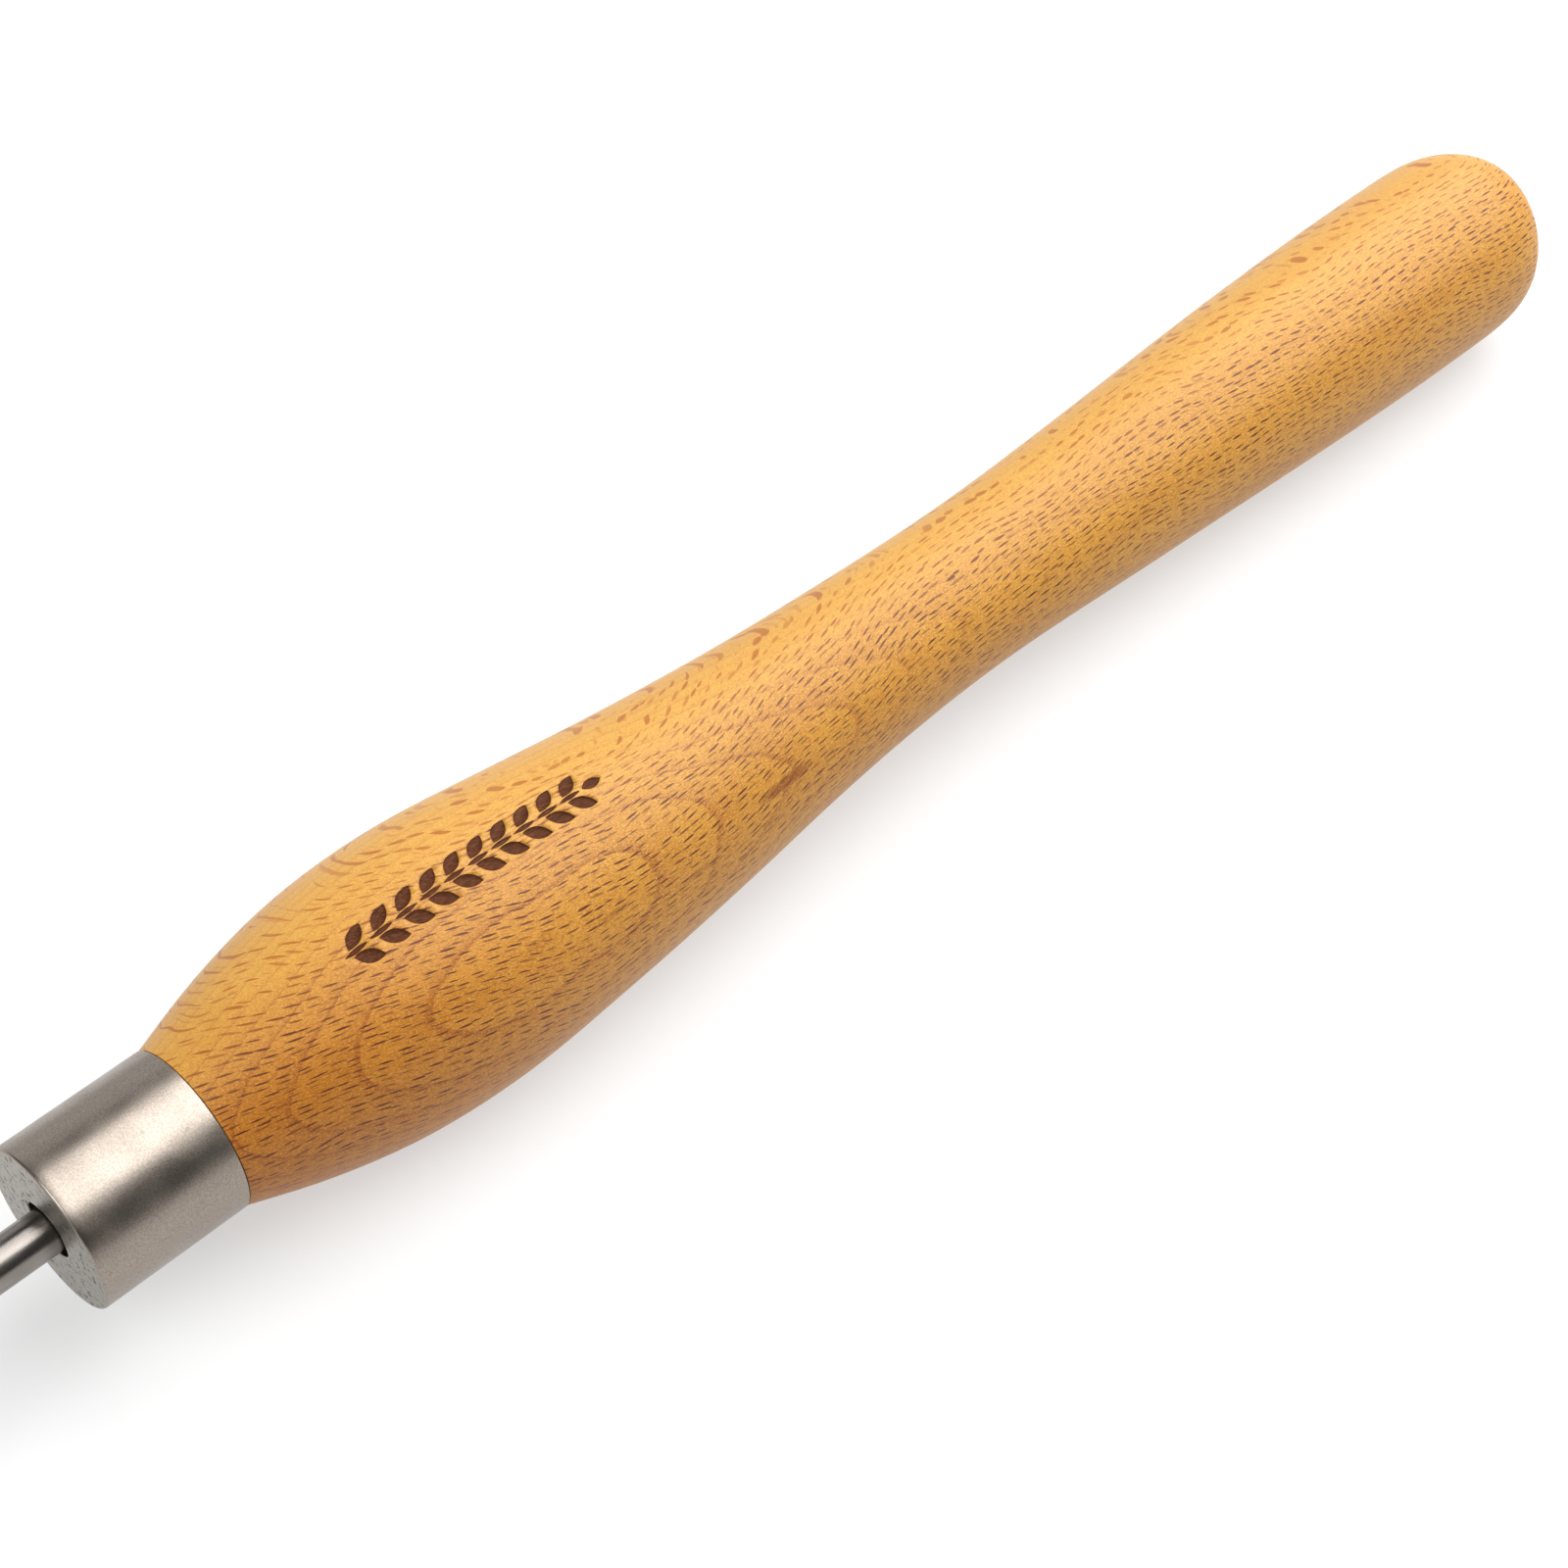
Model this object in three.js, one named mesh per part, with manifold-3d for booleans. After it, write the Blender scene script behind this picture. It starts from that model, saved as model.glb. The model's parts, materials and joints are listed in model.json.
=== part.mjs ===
// Woodworker's gouge with a long turned handle.
//
// A fluted steel bar is glued into a beech handle through a closed steel ferrule.
// Millimetres, +Z up. The tool lies on its side at rest: the handle's bulge and its butt
// touch the ground plane, and the blade points along +X, clear of the ground.
// Inside the tool group the axis is X, x = 0 is the joint between ferrule and wood,
// and the flute opens upwards (+Z).

import * as THREE from 'three';
import * as BufferGeometryUtils from 'three/addons/utils/BufferGeometryUtils.js';
import Module from 'manifold-3d';

const wasm = await Module();
wasm.setup();

// ---------------------------------------------------------------- driving dimensions

const DEGREE = Math.PI / 180;
const FIT_GAP = 0.3;

const HANDLE = {
  length: 276.5,           // wood behind the ferrule, before the butt is sanded
  shoulderRadius: 11.9,
  bulge: { at: 42, radius: 19.4 },
  waist: { at: 142, radius: 12.3 },
  swell: { at: 257, radius: 16.1 },
  domeFullness: 2.35,      // 2 is a half ellipse, more is blunter
};
// Hand sanding left the handle a little uneven on one side: the centre line leans towards
// that side in two places, behind the bulge and behind the waist, and the butt is flattened there.
const SANDED_SIDE = 124 * DEGREE; // turn about the axis, from straight up towards +Y
const LEANS = [
  { at: 80, reach: 33, amount: 0.9 },
  { at: 165, reach: 28, amount: 0.28 },
];
const BUTT_FLAT = { tilt: 16 * DEGREE, depth: 6.5, left: 0.6, softness: 0.5 };

const FERRULE = {
  radius: 12,
  length: 21.9,
  wall: 1.6,
  frontWall: 3,
  edgeChamfer: 0.35,
  holeWidth: 6.7,          // square hole with rounded corners
  holeCornerRadius: 1.5,
  holeTurn: 33.9 * DEGREE, // turn of a corner about the axis, from straight up
};

const BAR = {
  radius: 3.175,           // 1/4 inch round bar
  exposed: 150,            // ferrule face to cutting edge
  inHandle: 52,            // joint to tang end
  tangChamfer: 0.8,
};
const FLUTE = {
  radius: 2.1,
  floorDrop: 0.5,          // floor below the bar's centre line
  length: 92,
  runoutRadius: 60,        // radius of the grinding wheel that ends the flute
};
const GRIND = {
  noseBevel: 45 * DEGREE,
  wingBevel: 29 * DEGREE,
  wingSweep: 5,            // how far the wings' ends stand behind the nose
  wingTurn: 112 * DEGREE,  // turn about the bar from the underside to a wing
  passes: 14,              // flats that make up the bevel
  blockSize: 38,           // cube that cuts one flat
};

const GLUE = {
  wall: 0.525,             // thickness of the cured sleeve round the tang
  bareTang: 2,             // tang end that the glue doesn't reach
};
const BORE = {
  radius: BAR.radius + GLUE.wall + 2 * FIT_GAP,
  drillPoint: 59 * DEGREE,
};

// How finely curves are divided.
const HANDLE_SIDES = 56;
const HANDLE_STEPS = 40;
const DOME_STEPS = 11;
const FERRULE_SIDES = 72;
const CORNER_SEGMENTS = 8;
const BAR_SIDES = 36;
const RUNOUT_SEGMENTS = 10;
const LAYING_PASSES = 4;

// How far a cutting solid reaches past what it cuts.
const CUT_MARGIN = 1;

// ---------------------------------------------------------------- materials

function finish(color, roughness, metalness) {
  return new THREE.MeshStandardMaterial({ color, roughness, metalness });
}

const beech = finish(0xe0a252, 0.45, 0);
const turnedSteel = finish(0xa9a39c, 0.38, 1);
const toolSteel = finish(0x8f8b88, 0.25, 1);
const epoxy = finish(0xc9b98a, 0.4, 0);

// ---------------------------------------------------------------- geometry helpers

// A solid turned about X from outline points [x, radius]. The points run from the butt side
// to the tip side along the outside, so that the faces point out.
function turned(outline, sides) {
  const points = outline.map(([x, radius]) => new THREE.Vector2(radius, x));
  const geometry = new THREE.LatheGeometry(points, sides);
  geometry.rotateZ(-Math.PI / 2);
  return welded(geometry);
}

function welded(geometry) {
  const bare = geometry.clone();
  bare.deleteAttribute('normal');
  bare.deleteAttribute('uv');
  return BufferGeometryUtils.mergeVertices(bare, 1e-4);
}

function toSolid(geometry) {
  const closed = welded(geometry);
  const mesh = new wasm.Mesh({
    numProp: 3,
    vertProperties: Float32Array.from(closed.attributes.position.array),
    triVerts: Uint32Array.from(closed.index.array),
  });
  return new wasm.Manifold(mesh);
}

function toGeometry(solid) {
  const mesh = solid.getMesh();
  const geometry = new THREE.BufferGeometry();
  geometry.setAttribute('position', new THREE.BufferAttribute(mesh.vertProperties, 3));
  geometry.setIndex(new THREE.BufferAttribute(mesh.triVerts, 1));
  return geometry;
}

function named(name, geometry, material) {
  const mesh = new THREE.Mesh(geometry, material);
  mesh.name = name;
  return mesh;
}

// ---------------------------------------------------------------- handle

// Radius of the wood at a distance behind the joint, through hand-set stations.
function handleCurve() {
  const { bulge, waist, swell } = HANDLE;
  const stations = [
    [0, HANDLE.shoulderRadius],
    [12, 15.8],
    [26, 18.65],
    [bulge.at, bulge.radius],
    [60, 18],
    [82, 15.85],
    [110, 13.4],
    [waist.at, waist.radius],
    [175, 13.5],
    [208, 15.05],
    [236, 15.95],
    [swell.at, swell.radius],
  ];
  return new THREE.SplineCurve(stations.map(([at, radius]) => new THREE.Vector2(at, radius)));
}

function handleOutline() {
  const outline = [];
  const boreRadius = BORE.radius;
  const boreEnd = -(BAR.inHandle + FIT_GAP);
  const spigotRadius = FERRULE.radius - FERRULE.wall - FIT_GAP;
  const spigotEnd = FERRULE.length - FERRULE.frontWall - FIT_GAP;
  const domeLength = HANDLE.length - HANDLE.swell.at;

  for (let step = 0; step < DOME_STEPS; step += 1) {
    const turn = (1 - step / DOME_STEPS) * Math.PI / 2;
    const x = -(HANDLE.swell.at + domeLength * Math.sin(turn) ** (2 / HANDLE.domeFullness));
    outline.push([x, HANDLE.swell.radius * Math.cos(turn) ** (2 / HANDLE.domeFullness)]);
  }
  outline[0][1] = 0;
  const along = handleCurve().getPoints(HANDLE_STEPS);
  along.reverse();
  along.forEach((point) => outline.push([-point.x, point.y]));
  outline.push([0, spigotRadius]);
  outline.push([spigotEnd, spigotRadius]);
  outline.push([spigotEnd, boreRadius]);
  outline.push([boreEnd, boreRadius]);
  outline.push([boreEnd - boreRadius / Math.tan(BORE.drillPoint), 0]);
  return outline;
}

// How far the centre line leans at a distance behind the joint.
function leanAt(behind) {
  return LEANS.reduce((sum, lean) => {
    const share = (behind - lean.at) / lean.reach;
    return sum + lean.amount * Math.exp(-(share ** 2));
  }, 0);
}

// Moves one point of the turned surface to where sanding left it.
function sanded(point) {
  const side = new THREE.Vector3(0, Math.sin(SANDED_SIDE), Math.cos(SANDED_SIDE));
  const moved = point.clone().addScaledVector(side, leanAt(-point.x));

  const flatNormal = side.multiplyScalar(Math.sin(BUTT_FLAT.tilt));
  flatNormal.x = -Math.cos(BUTT_FLAT.tilt);
  const beyond = moved.dot(flatNormal) + HANDLE.length * flatNormal.x + BUTT_FLAT.depth;
  const removed = BUTT_FLAT.softness * Math.log1p(Math.exp(beyond / BUTT_FLAT.softness));
  return moved.addScaledVector(flatNormal, -(1 - BUTT_FLAT.left) * removed);
}

function makeHandle() {
  const geometry = turned(handleOutline(), HANDLE_SIDES);
  const position = geometry.attributes.position;
  for (let index = 0; index < position.count; index += 1) {
    const point = new THREE.Vector3().fromBufferAttribute(position, index);
    const inBore = point.x > -HANDLE.swell.at && Math.hypot(point.y, point.z) < BORE.radius + FIT_GAP;
    if (!inBore) {
      position.setXYZ(index, ...sanded(point).toArray());
    }
  }
  return named('handle', geometry, beech);
}

// ---------------------------------------------------------------- ferrule

function roundedSquare(width, cornerRadius) {
  const half = width / 2;
  const straight = half - cornerRadius;
  const shape = new THREE.Shape();
  for (let corner = 0; corner < 4; corner += 1) {
    const turn = corner * Math.PI / 2;
    const centre = new THREE.Vector2(straight, straight).rotateAround(new THREE.Vector2(), turn);
    shape.absarc(centre.x, centre.y, cornerRadius, turn, turn + Math.PI / 2, false);
  }
  shape.closePath();
  return shape;
}

// A prism along X between two stations. The shape's own x runs along Y and its y along Z.
function prismAlongX(shape, from, to) {
  const geometry = new THREE.ExtrudeGeometry(shape, {
    depth: to - from,
    bevelEnabled: false,
    curveSegments: CORNER_SEGMENTS,
  });
  geometry.applyMatrix4(new THREE.Matrix4().set(0, 0, 1, from, 1, 0, 0, 0, 0, 1, 0, 0, 0, 0, 0, 1));
  return geometry;
}

function makeFerrule() {
  const { radius, length, wall, frontWall, edgeChamfer } = FERRULE;
  const inside = radius - wall;
  const cup = turned([
    [length - frontWall, 0],
    [length - frontWall, inside],
    [0, inside],
    [0, radius],
    [length - edgeChamfer, radius],
    [length, radius - edgeChamfer],
    [length, 0],
  ], FERRULE_SIDES);
  const hole = prismAlongX(
    roundedSquare(FERRULE.holeWidth, FERRULE.holeCornerRadius),
    length - frontWall - CUT_MARGIN,
    length + CUT_MARGIN,
  );
  hole.rotateX(Math.PI / 4 - FERRULE.holeTurn);
  return named('ferrule', toGeometry(toSolid(cup).subtract(toSolid(hole))), turnedSteel);
}

// ---------------------------------------------------------------- blade

function fluteCutter(tip) {
  const above = BAR.radius + CUT_MARGIN;
  const centreHeight = FLUTE.radius - FLUTE.floorDrop;
  const section = new THREE.Shape();
  section.moveTo(FLUTE.radius, above);
  section.lineTo(-FLUTE.radius, above);
  section.absarc(0, centreHeight, FLUTE.radius, Math.PI, 2 * Math.PI, false);
  section.closePath();
  const floorEnd = tip - FLUTE.length;
  const channelEnd = tip + 2 * CUT_MARGIN;
  const channel = prismAlongX(section, floorEnd - FLUTE.runoutRadius, channelEnd);

  // Side view: the floor runs straight from the tip, then climbs on the wheel's radius.
  const below = -FLUTE.floorDrop - CUT_MARGIN;
  const wheelCentre = FLUTE.runoutRadius - FLUTE.floorDrop;
  const side = new THREE.Shape();
  side.moveTo(channelEnd + CUT_MARGIN, below);
  side.lineTo(channelEnd + CUT_MARGIN, above + CUT_MARGIN);
  const climb = Math.acos((wheelCentre - above - CUT_MARGIN) / FLUTE.runoutRadius);
  side.absarc(floorEnd, wheelCentre, FLUTE.runoutRadius, -Math.PI / 2 - climb, -Math.PI / 2, false);
  side.lineTo(floorEnd, below);
  side.closePath();
  const width = 2 * (BAR.radius + CUT_MARGIN);
  const wide = new THREE.ExtrudeGeometry(side, {
    depth: width,
    bevelEnabled: false,
    curveSegments: RUNOUT_SEGMENTS,
  });
  wide.translate(0, 0, -width / 2);
  wide.rotateX(Math.PI / 2);
  return toSolid(channel).intersect(toSolid(wide));
}

// Block whose lower face is one flat of the bevel. turn is the roll about the bar, 0 underneath.
function grindingBlock(tip, turn) {
  const share = Math.abs(turn) / GRIND.wingTurn;
  const bevel = GRIND.noseBevel + (GRIND.wingBevel - GRIND.noseBevel) * share;
  const outward = new THREE.Vector3(0, Math.sin(turn), -Math.cos(turn));
  const normal = outward.clone().multiplyScalar(Math.cos(bevel));
  normal.x = Math.sin(bevel);
  const sweep = GRIND.wingSweep * (1 - Math.cos(turn)) / (1 - Math.cos(GRIND.wingTurn));
  const edge = outward.clone().multiplyScalar(FLUTE.radius);
  edge.add(new THREE.Vector3(tip - sweep, 0, FLUTE.radius - FLUTE.floorDrop));

  const size = GRIND.blockSize;
  const block = new THREE.BoxGeometry(size, size, size);
  block.translate(0, 0, size / 2);
  block.applyQuaternion(new THREE.Quaternion().setFromUnitVectors(new THREE.Vector3(0, 0, 1), normal));
  block.translate(edge.x, edge.y, edge.z);
  return block;
}

function makeBlade() {
  const tip = FERRULE.length + BAR.exposed;
  const tangEnd = -BAR.inHandle;
  const bar = turned([
    [tangEnd, 0],
    [tangEnd, BAR.radius - BAR.tangChamfer],
    [tangEnd + BAR.tangChamfer, BAR.radius],
    [tip + CUT_MARGIN, BAR.radius],
    [tip + CUT_MARGIN, 0],
  ], BAR_SIDES);
  let blade = toSolid(bar).subtract(fluteCutter(tip));
  for (let pass = 0; pass <= GRIND.passes; pass += 1) {
    const turn = (2 * pass / GRIND.passes - 1) * GRIND.wingTurn;
    blade = blade.subtract(toSolid(grindingBlock(tip, turn)));
  }
  return named('gouge_blade', toGeometry(blade), toolSteel);
}

// ---------------------------------------------------------------- adhesive

function makeAdhesive() {
  const inner = BAR.radius + FIT_GAP;
  const outer = BORE.radius - FIT_GAP;
  const back = -BAR.inHandle + GLUE.bareTang;
  const front = FERRULE.length - FERRULE.frontWall - 2 * FIT_GAP;
  const sleeve = turned([
    [back, inner],
    [back, outer],
    [front, outer],
    [front, inner],
    [back, inner],
  ], BAR_SIDES);
  return named('tang_adhesive', sleeve, epoxy);
}

// ---------------------------------------------------------------- assembly

// Lowest point of a mesh among those whose own x lies between two stations.
function lowestPoint(mesh, from, to) {
  const position = mesh.geometry.attributes.position;
  let lowest = null;
  for (let index = 0; index < position.count; index += 1) {
    const x = position.getX(index);
    if (x > from && x < to) {
      const point = new THREE.Vector3().fromBufferAttribute(position, index);
      point.applyMatrix4(mesh.matrixWorld);
      if (lowest === null || point.z < lowest.z) {
        lowest = point;
      }
    }
  }
  return lowest;
}

// Turns the tool about Y until the handle's bulge and its butt touch the ground together.
function layDown(tool, handle) {
  for (let pass = 0; pass < LAYING_PASSES; pass += 1) {
    tool.updateMatrixWorld(true);
    const front = lowestPoint(handle, -HANDLE.waist.at, 0);
    const back = lowestPoint(handle, -HANDLE.length, -HANDLE.waist.at);
    tool.rotation.y += Math.atan2(front.z - back.z, front.x - back.x);
  }
}

const handle = makeHandle();
const tool = new THREE.Group();
tool.add(handle, makeFerrule(), makeBlade(), makeAdhesive());
layDown(tool, handle);

const gouge = new THREE.Group();
gouge.add(tool);
gouge.updateMatrixWorld(true);
const bounds = new THREE.Box3().setFromObject(gouge, true);
const middle = bounds.getCenter(new THREE.Vector3());
gouge.position.set(-middle.x, -middle.y, -bounds.min.z);

export default gouge;
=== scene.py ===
"""Looks for the woodworking gouge: a fluted steel bar in a closed steel ferrule on a turned beech handle.

Every piece is shaped in the tool's own axes: x runs towards the cutting edge from the joint between
ferrule and wood, and z is the side that the flute opens to. Its vertices are then moved to where the
CAD tool lies.
"""
import json
import math

import bmesh
import bpy
import numpy as np
from mathutils import Matrix, Vector
from mathutils.bvhtree import BVHTree


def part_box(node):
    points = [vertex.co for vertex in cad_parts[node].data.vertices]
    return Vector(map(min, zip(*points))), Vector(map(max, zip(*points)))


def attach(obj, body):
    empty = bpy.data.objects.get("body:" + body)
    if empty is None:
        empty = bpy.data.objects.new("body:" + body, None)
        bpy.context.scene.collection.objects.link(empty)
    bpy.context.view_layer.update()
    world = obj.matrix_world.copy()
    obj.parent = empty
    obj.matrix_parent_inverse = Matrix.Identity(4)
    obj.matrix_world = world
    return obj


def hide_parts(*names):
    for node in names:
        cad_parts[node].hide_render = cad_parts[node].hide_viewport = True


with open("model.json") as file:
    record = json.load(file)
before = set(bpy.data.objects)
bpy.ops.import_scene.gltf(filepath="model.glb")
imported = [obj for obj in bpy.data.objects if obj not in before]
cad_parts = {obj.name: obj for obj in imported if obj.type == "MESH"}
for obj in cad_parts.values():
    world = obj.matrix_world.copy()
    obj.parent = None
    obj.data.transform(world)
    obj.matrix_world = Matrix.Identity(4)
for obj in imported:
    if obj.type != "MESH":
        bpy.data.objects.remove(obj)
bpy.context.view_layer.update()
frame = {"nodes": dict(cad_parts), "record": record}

MM = 0.001


# ---------------------------------------------------------------- the tool's axes and sizes, from the frame

def tool_axes():
    """Matrix of the tool's axes, and the ferrule's length."""
    mount = next(m for m in frame["record"]["mounts"] if m["name"] == "ferrule_face")
    along = Vector(mount["axis"]).normalized()
    up = (Vector((0, 0, 1)) - along * along.z).normalized()
    across = up.cross(along)
    low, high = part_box("ferrule")
    middle = (low + high) / 2
    reach = [(v.co - middle).dot(along) for v in frame["nodes"]["ferrule"].data.vertices]
    length = max(reach) - min(reach)
    joint = middle - along * length / 2
    turn = Matrix((along, across, up)).transposed().to_4x4()
    return Matrix.Translation(joint) @ turn, length


TOOL, FERRULE_LENGTH = tool_axes()
TO_TOOL = TOOL.inverted()


def tool_points(node):
    """The vertices of a CAD node in the tool's axes, as an array."""
    return np.array([TO_TOOL @ v.co for v in frame["nodes"][node].data.vertices])


def around(turn, radius):
    """A place across the axis: turn is measured about it from z towards y."""
    return radius * math.sin(turn), radius * math.cos(turn)


# ---------------------------------------------------------------- camera, floor and light

CAMERA_AZIMUTH = math.radians(135.65)
CAMERA_ELEVATION = math.radians(48.57)
SENSOR_WIDTH = 36
FOCAL_LENGTH = 67.5
# How far the joint lies to the right of the camera, below it and ahead of it.
JOINT_RIGHT = -75.0 * MM
JOINT_DOWN = 43.7 * MM
JOINT_AHEAD = 372.4 * MM

# Metres, and shares of full white.
FLOOR_HALF = 30.0
PAPER_GREY = 0.3
PAPER_GLOW = 0.56
ROOM_GREY = 0.06
# Name, place and size in metres, and power in watts. All of them face the middle of the tool.
SOFTBOXES = [
    ("overhead", (-0.66, 0.1225, 0.88), (1.365, 1.4), 28.6),
    ("front", (0.8, 0.05, 0.8), (0.7, 0.7), 8),
    ("backdrop", (-0.8, -1.5, 0.7), (3.0, 1.2), 8.5),
]


def aim(obj, place, target):
    obj.location = place
    obj.rotation_euler = (target - place).to_track_quat("-Z", "Y").to_euler()


def make_camera():
    """The joint between wood and ferrule is seen left of and below the middle."""
    level = math.cos(CAMERA_ELEVATION)
    ahead = Vector((
        -math.sin(CAMERA_AZIMUTH) * level,
        math.cos(CAMERA_AZIMUTH) * level,
        -math.sin(CAMERA_ELEVATION),
    ))
    right = ahead.cross(Vector((0, 0, 1))).normalized()
    down = ahead.cross(right)
    camera = bpy.data.objects.new("camera", bpy.data.cameras.new("camera"))
    bpy.context.scene.collection.objects.link(camera)
    place = TOOL.translation - right * JOINT_RIGHT - down * JOINT_DOWN - ahead * JOINT_AHEAD
    aim(camera, place, place + ahead)
    camera.data.sensor_width = SENSOR_WIDTH
    camera.data.lens = FOCAL_LENGTH
    camera.data.clip_start = 0.01
    bpy.context.scene.camera = camera


def make_floor():
    """White paper that glows a little, so that it stays white beside the shadow."""
    mesh = bpy.data.meshes.new("floor")
    half = FLOOR_HALF
    corners = [(-half, -half, 0), (half, -half, 0), (half, half, 0), (-half, half, 0)]
    mesh.from_pydata(corners, [], [(0, 1, 2, 3)])
    floor = bpy.data.objects.new("floor", mesh)
    bpy.context.scene.collection.objects.link(floor)
    paper = bpy.data.materials.new("white_paper")
    paper.use_nodes = True
    shader = paper.node_tree.nodes["Principled BSDF"]
    shader.inputs["Base Color"].default_value = (PAPER_GREY, PAPER_GREY, PAPER_GREY, 1)
    shader.inputs["Roughness"].default_value = 0.9
    shader.inputs["Emission Color"].default_value = (1, 1, 1, 1)
    shader.inputs["Emission Strength"].default_value = PAPER_GLOW
    mesh.materials.append(paper)


def add_softbox(name, place, size, power):
    light = bpy.data.lights.new(name, "AREA")
    light.shape = "RECTANGLE"
    light.size, light.size_y = size
    light.energy = power
    obj = bpy.data.objects.new(name, light)
    bpy.context.scene.collection.objects.link(obj)
    aim(obj, Vector(place), Vector((0, 0, 0)))


def make_light():
    world = bpy.data.worlds.new("studio")
    world.use_nodes = True
    room = world.node_tree.nodes["Background"]
    room.inputs["Color"].default_value = (ROOM_GREY, ROOM_GREY, ROOM_GREY, 1)
    bpy.context.scene.world = world
    for softbox in SOFTBOXES:
        add_softbox(*softbox)
    bpy.context.scene.view_settings.view_transform = "Standard"


# ---------------------------------------------------------------- shader node helpers

class Nodes:
    """Builds one material's nodes. Arguments are sockets or plain numbers."""

    # The mix node keeps its colours in these sockets, and their mix in this one.
    MIX_COLOURS = (6, 7)
    MIX_RESULT = 2

    def __init__(self, name):
        self.material = bpy.data.materials.new(name)
        self.material.use_nodes = True
        self.tree = self.material.node_tree
        self.shader = self.tree.nodes["Principled BSDF"]

    def add(self, kind, inputs=(), **settings):
        node = self.tree.nodes.new(kind)
        for key, value in settings.items():
            setattr(node, key, value)
        for key, value in dict(inputs).items():
            self.put(node.inputs[key], value)
        return node

    def put(self, socket, value):
        if isinstance(value, bpy.types.NodeSocket):
            self.tree.links.new(value, socket)
        else:
            socket.default_value = value

    def math(self, operation, *values):
        return self.add("ShaderNodeMath", enumerate(values), operation=operation).outputs[0]

    def plus(self, first, second):
        return self.math("ADD", first, second)

    def minus(self, first, second):
        return self.math("SUBTRACT", first, second)

    def times(self, first, second):
        return self.math("MULTIPLY", first, second)

    def over(self, first, second):
        return self.math("DIVIDE", first, second)

    def squares(self, first, second):
        """The sum of two squares."""
        return self.plus(self.times(first, first), self.times(second, second))

    def place(self):
        """Place on the piece in the tool's axes, in millimetres, as three sockets."""
        inputs = {
            "Vector": self.add("ShaderNodeTexCoord").outputs["Object"],
            "Location": TOOL.translation,
            "Rotation": TOOL.to_euler(),
            "Scale": (MM, MM, MM),
        }
        placed = self.add("ShaderNodeMapping", inputs, vector_type="TEXTURE")
        return self.add("ShaderNodeSeparateXYZ", {0: placed.outputs[0]}).outputs

    def vector(self, x, y, z):
        return self.add("ShaderNodeCombineXYZ", {0: x, 1: y, 2: z}).outputs[0]

    def stretched(self, place, factors):
        """A place with each of its three parts multiplied by its own factor."""
        return self.vector(*(self.times(part, factor) for part, factor in zip(place, factors)))

    def noise(self, vector, detail=2.0, roughness=0.5, scale=1.0):
        inputs = {"Vector": vector, "Scale": scale, "Detail": detail, "Roughness": roughness}
        return self.add("ShaderNodeTexNoise", inputs).outputs["Fac"]

    def ease(self, value, start, end, low=0.0, high=1.0):
        """Smooth step from low at start to high at end."""
        inputs = {"Value": value, "From Min": start, "From Max": end, "To Min": low, "To Max": high}
        return self.add("ShaderNodeMapRange", inputs, interpolation_type="SMOOTHSTEP").outputs[0]

    def spread(self, chance, low, high):
        """Low to high as chance goes from 0 to 1."""
        inputs = {"Value": chance, "To Min": low, "To Max": high}
        return self.add("ShaderNodeMapRange", inputs).outputs[0]

    def curve(self, value, points):
        """A smooth curve through given (value, result) points."""
        first, last = points[0][0], points[-1][0]
        low = min(result for _, result in points)
        high = max(result for _, result in points)
        share = self.add("ShaderNodeMapRange", {"Value": value, "From Min": first, "From Max": last})
        node = self.add("ShaderNodeFloatCurve", {"Value": share.outputs[0]})
        curve = node.mapping.curves[0]
        for index, (at, result) in enumerate(points):
            spot = ((at - first) / (last - first), (result - low) / (high - low))
            if index < 2:
                curve.points[index].location = spot
            else:
                curve.points.new(*spot)
        node.mapping.update()
        back = {"Value": node.outputs[0], "To Min": low, "To Max": high}
        return self.add("ShaderNodeMapRange", back, clamp=False).outputs[0]

    def mix(self, share, first, second, blend="MIX"):
        """Mix of two colours; a colour may be a socket or a plain tuple."""
        node = self.add("ShaderNodeMix", data_type="RGBA", blend_type=blend)
        self.put(node.inputs["Factor"], share)
        for socket, tone in zip(self.MIX_COLOURS, (first, second)):
            self.put(node.inputs[socket], tone)
        return node.outputs[self.MIX_RESULT]

    def bump(self, height, distance):
        return self.add("ShaderNodeBump", {"Height": height, "Distance": distance}).outputs[0]

    def finish(self, **values):
        for key, value in values.items():
            self.put(self.shader.inputs[key.replace("_", " ")], value)
        return self.material


def colour(red, green, blue):
    """Display colour of 0 to 255 as a linear colour."""
    parts = [part / 255 for part in (red, green, blue)]
    linear = [part / 12.92 if part < 0.04045 else ((part + 0.055) / 1.055) ** 2.4 for part in parts]
    return (*linear, 1)


# ---------------------------------------------------------------- beech

# The plank's bark side faces this turn about the axis. Rays run that way, and on the sides at
# right angles to it they show as broad flecks.
BARK_TURN = math.radians(55)
PITH_DEPTH = 70          # millimetres from the axis to the tree's pith
RING_WIDTH = 1.7
RING_OFFSET = 0.25
# How far the grain wanders, in millimetres, against distance behind the joint.
GRAIN_ASIDE = [(-20, -3.5), (0, 0), (20, 3.5), (40, 8.2), (58, 11.8), (75, 13), (100, 10.5), (130, 7),
               (160, 5.5), (190, 5.6), (220, 6.6), (280, 9)]
GRAIN_OUTWARD = [(-20, -3), (0, -1.6), (10, -0.7), (20, 0), (30, 0), (47, -0.5), (67, -1.5), (82, -0.6),
                 (105, -0.1), (118, 0.9), (130, 2.1), (146, 3.6), (164, 5.9), (200, 8), (280, 9.5)]

WOBBLE_ASIDE = 3         # millimetres that the grain also wanders at random
WOBBLE_OUTWARD = 1.2

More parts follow.
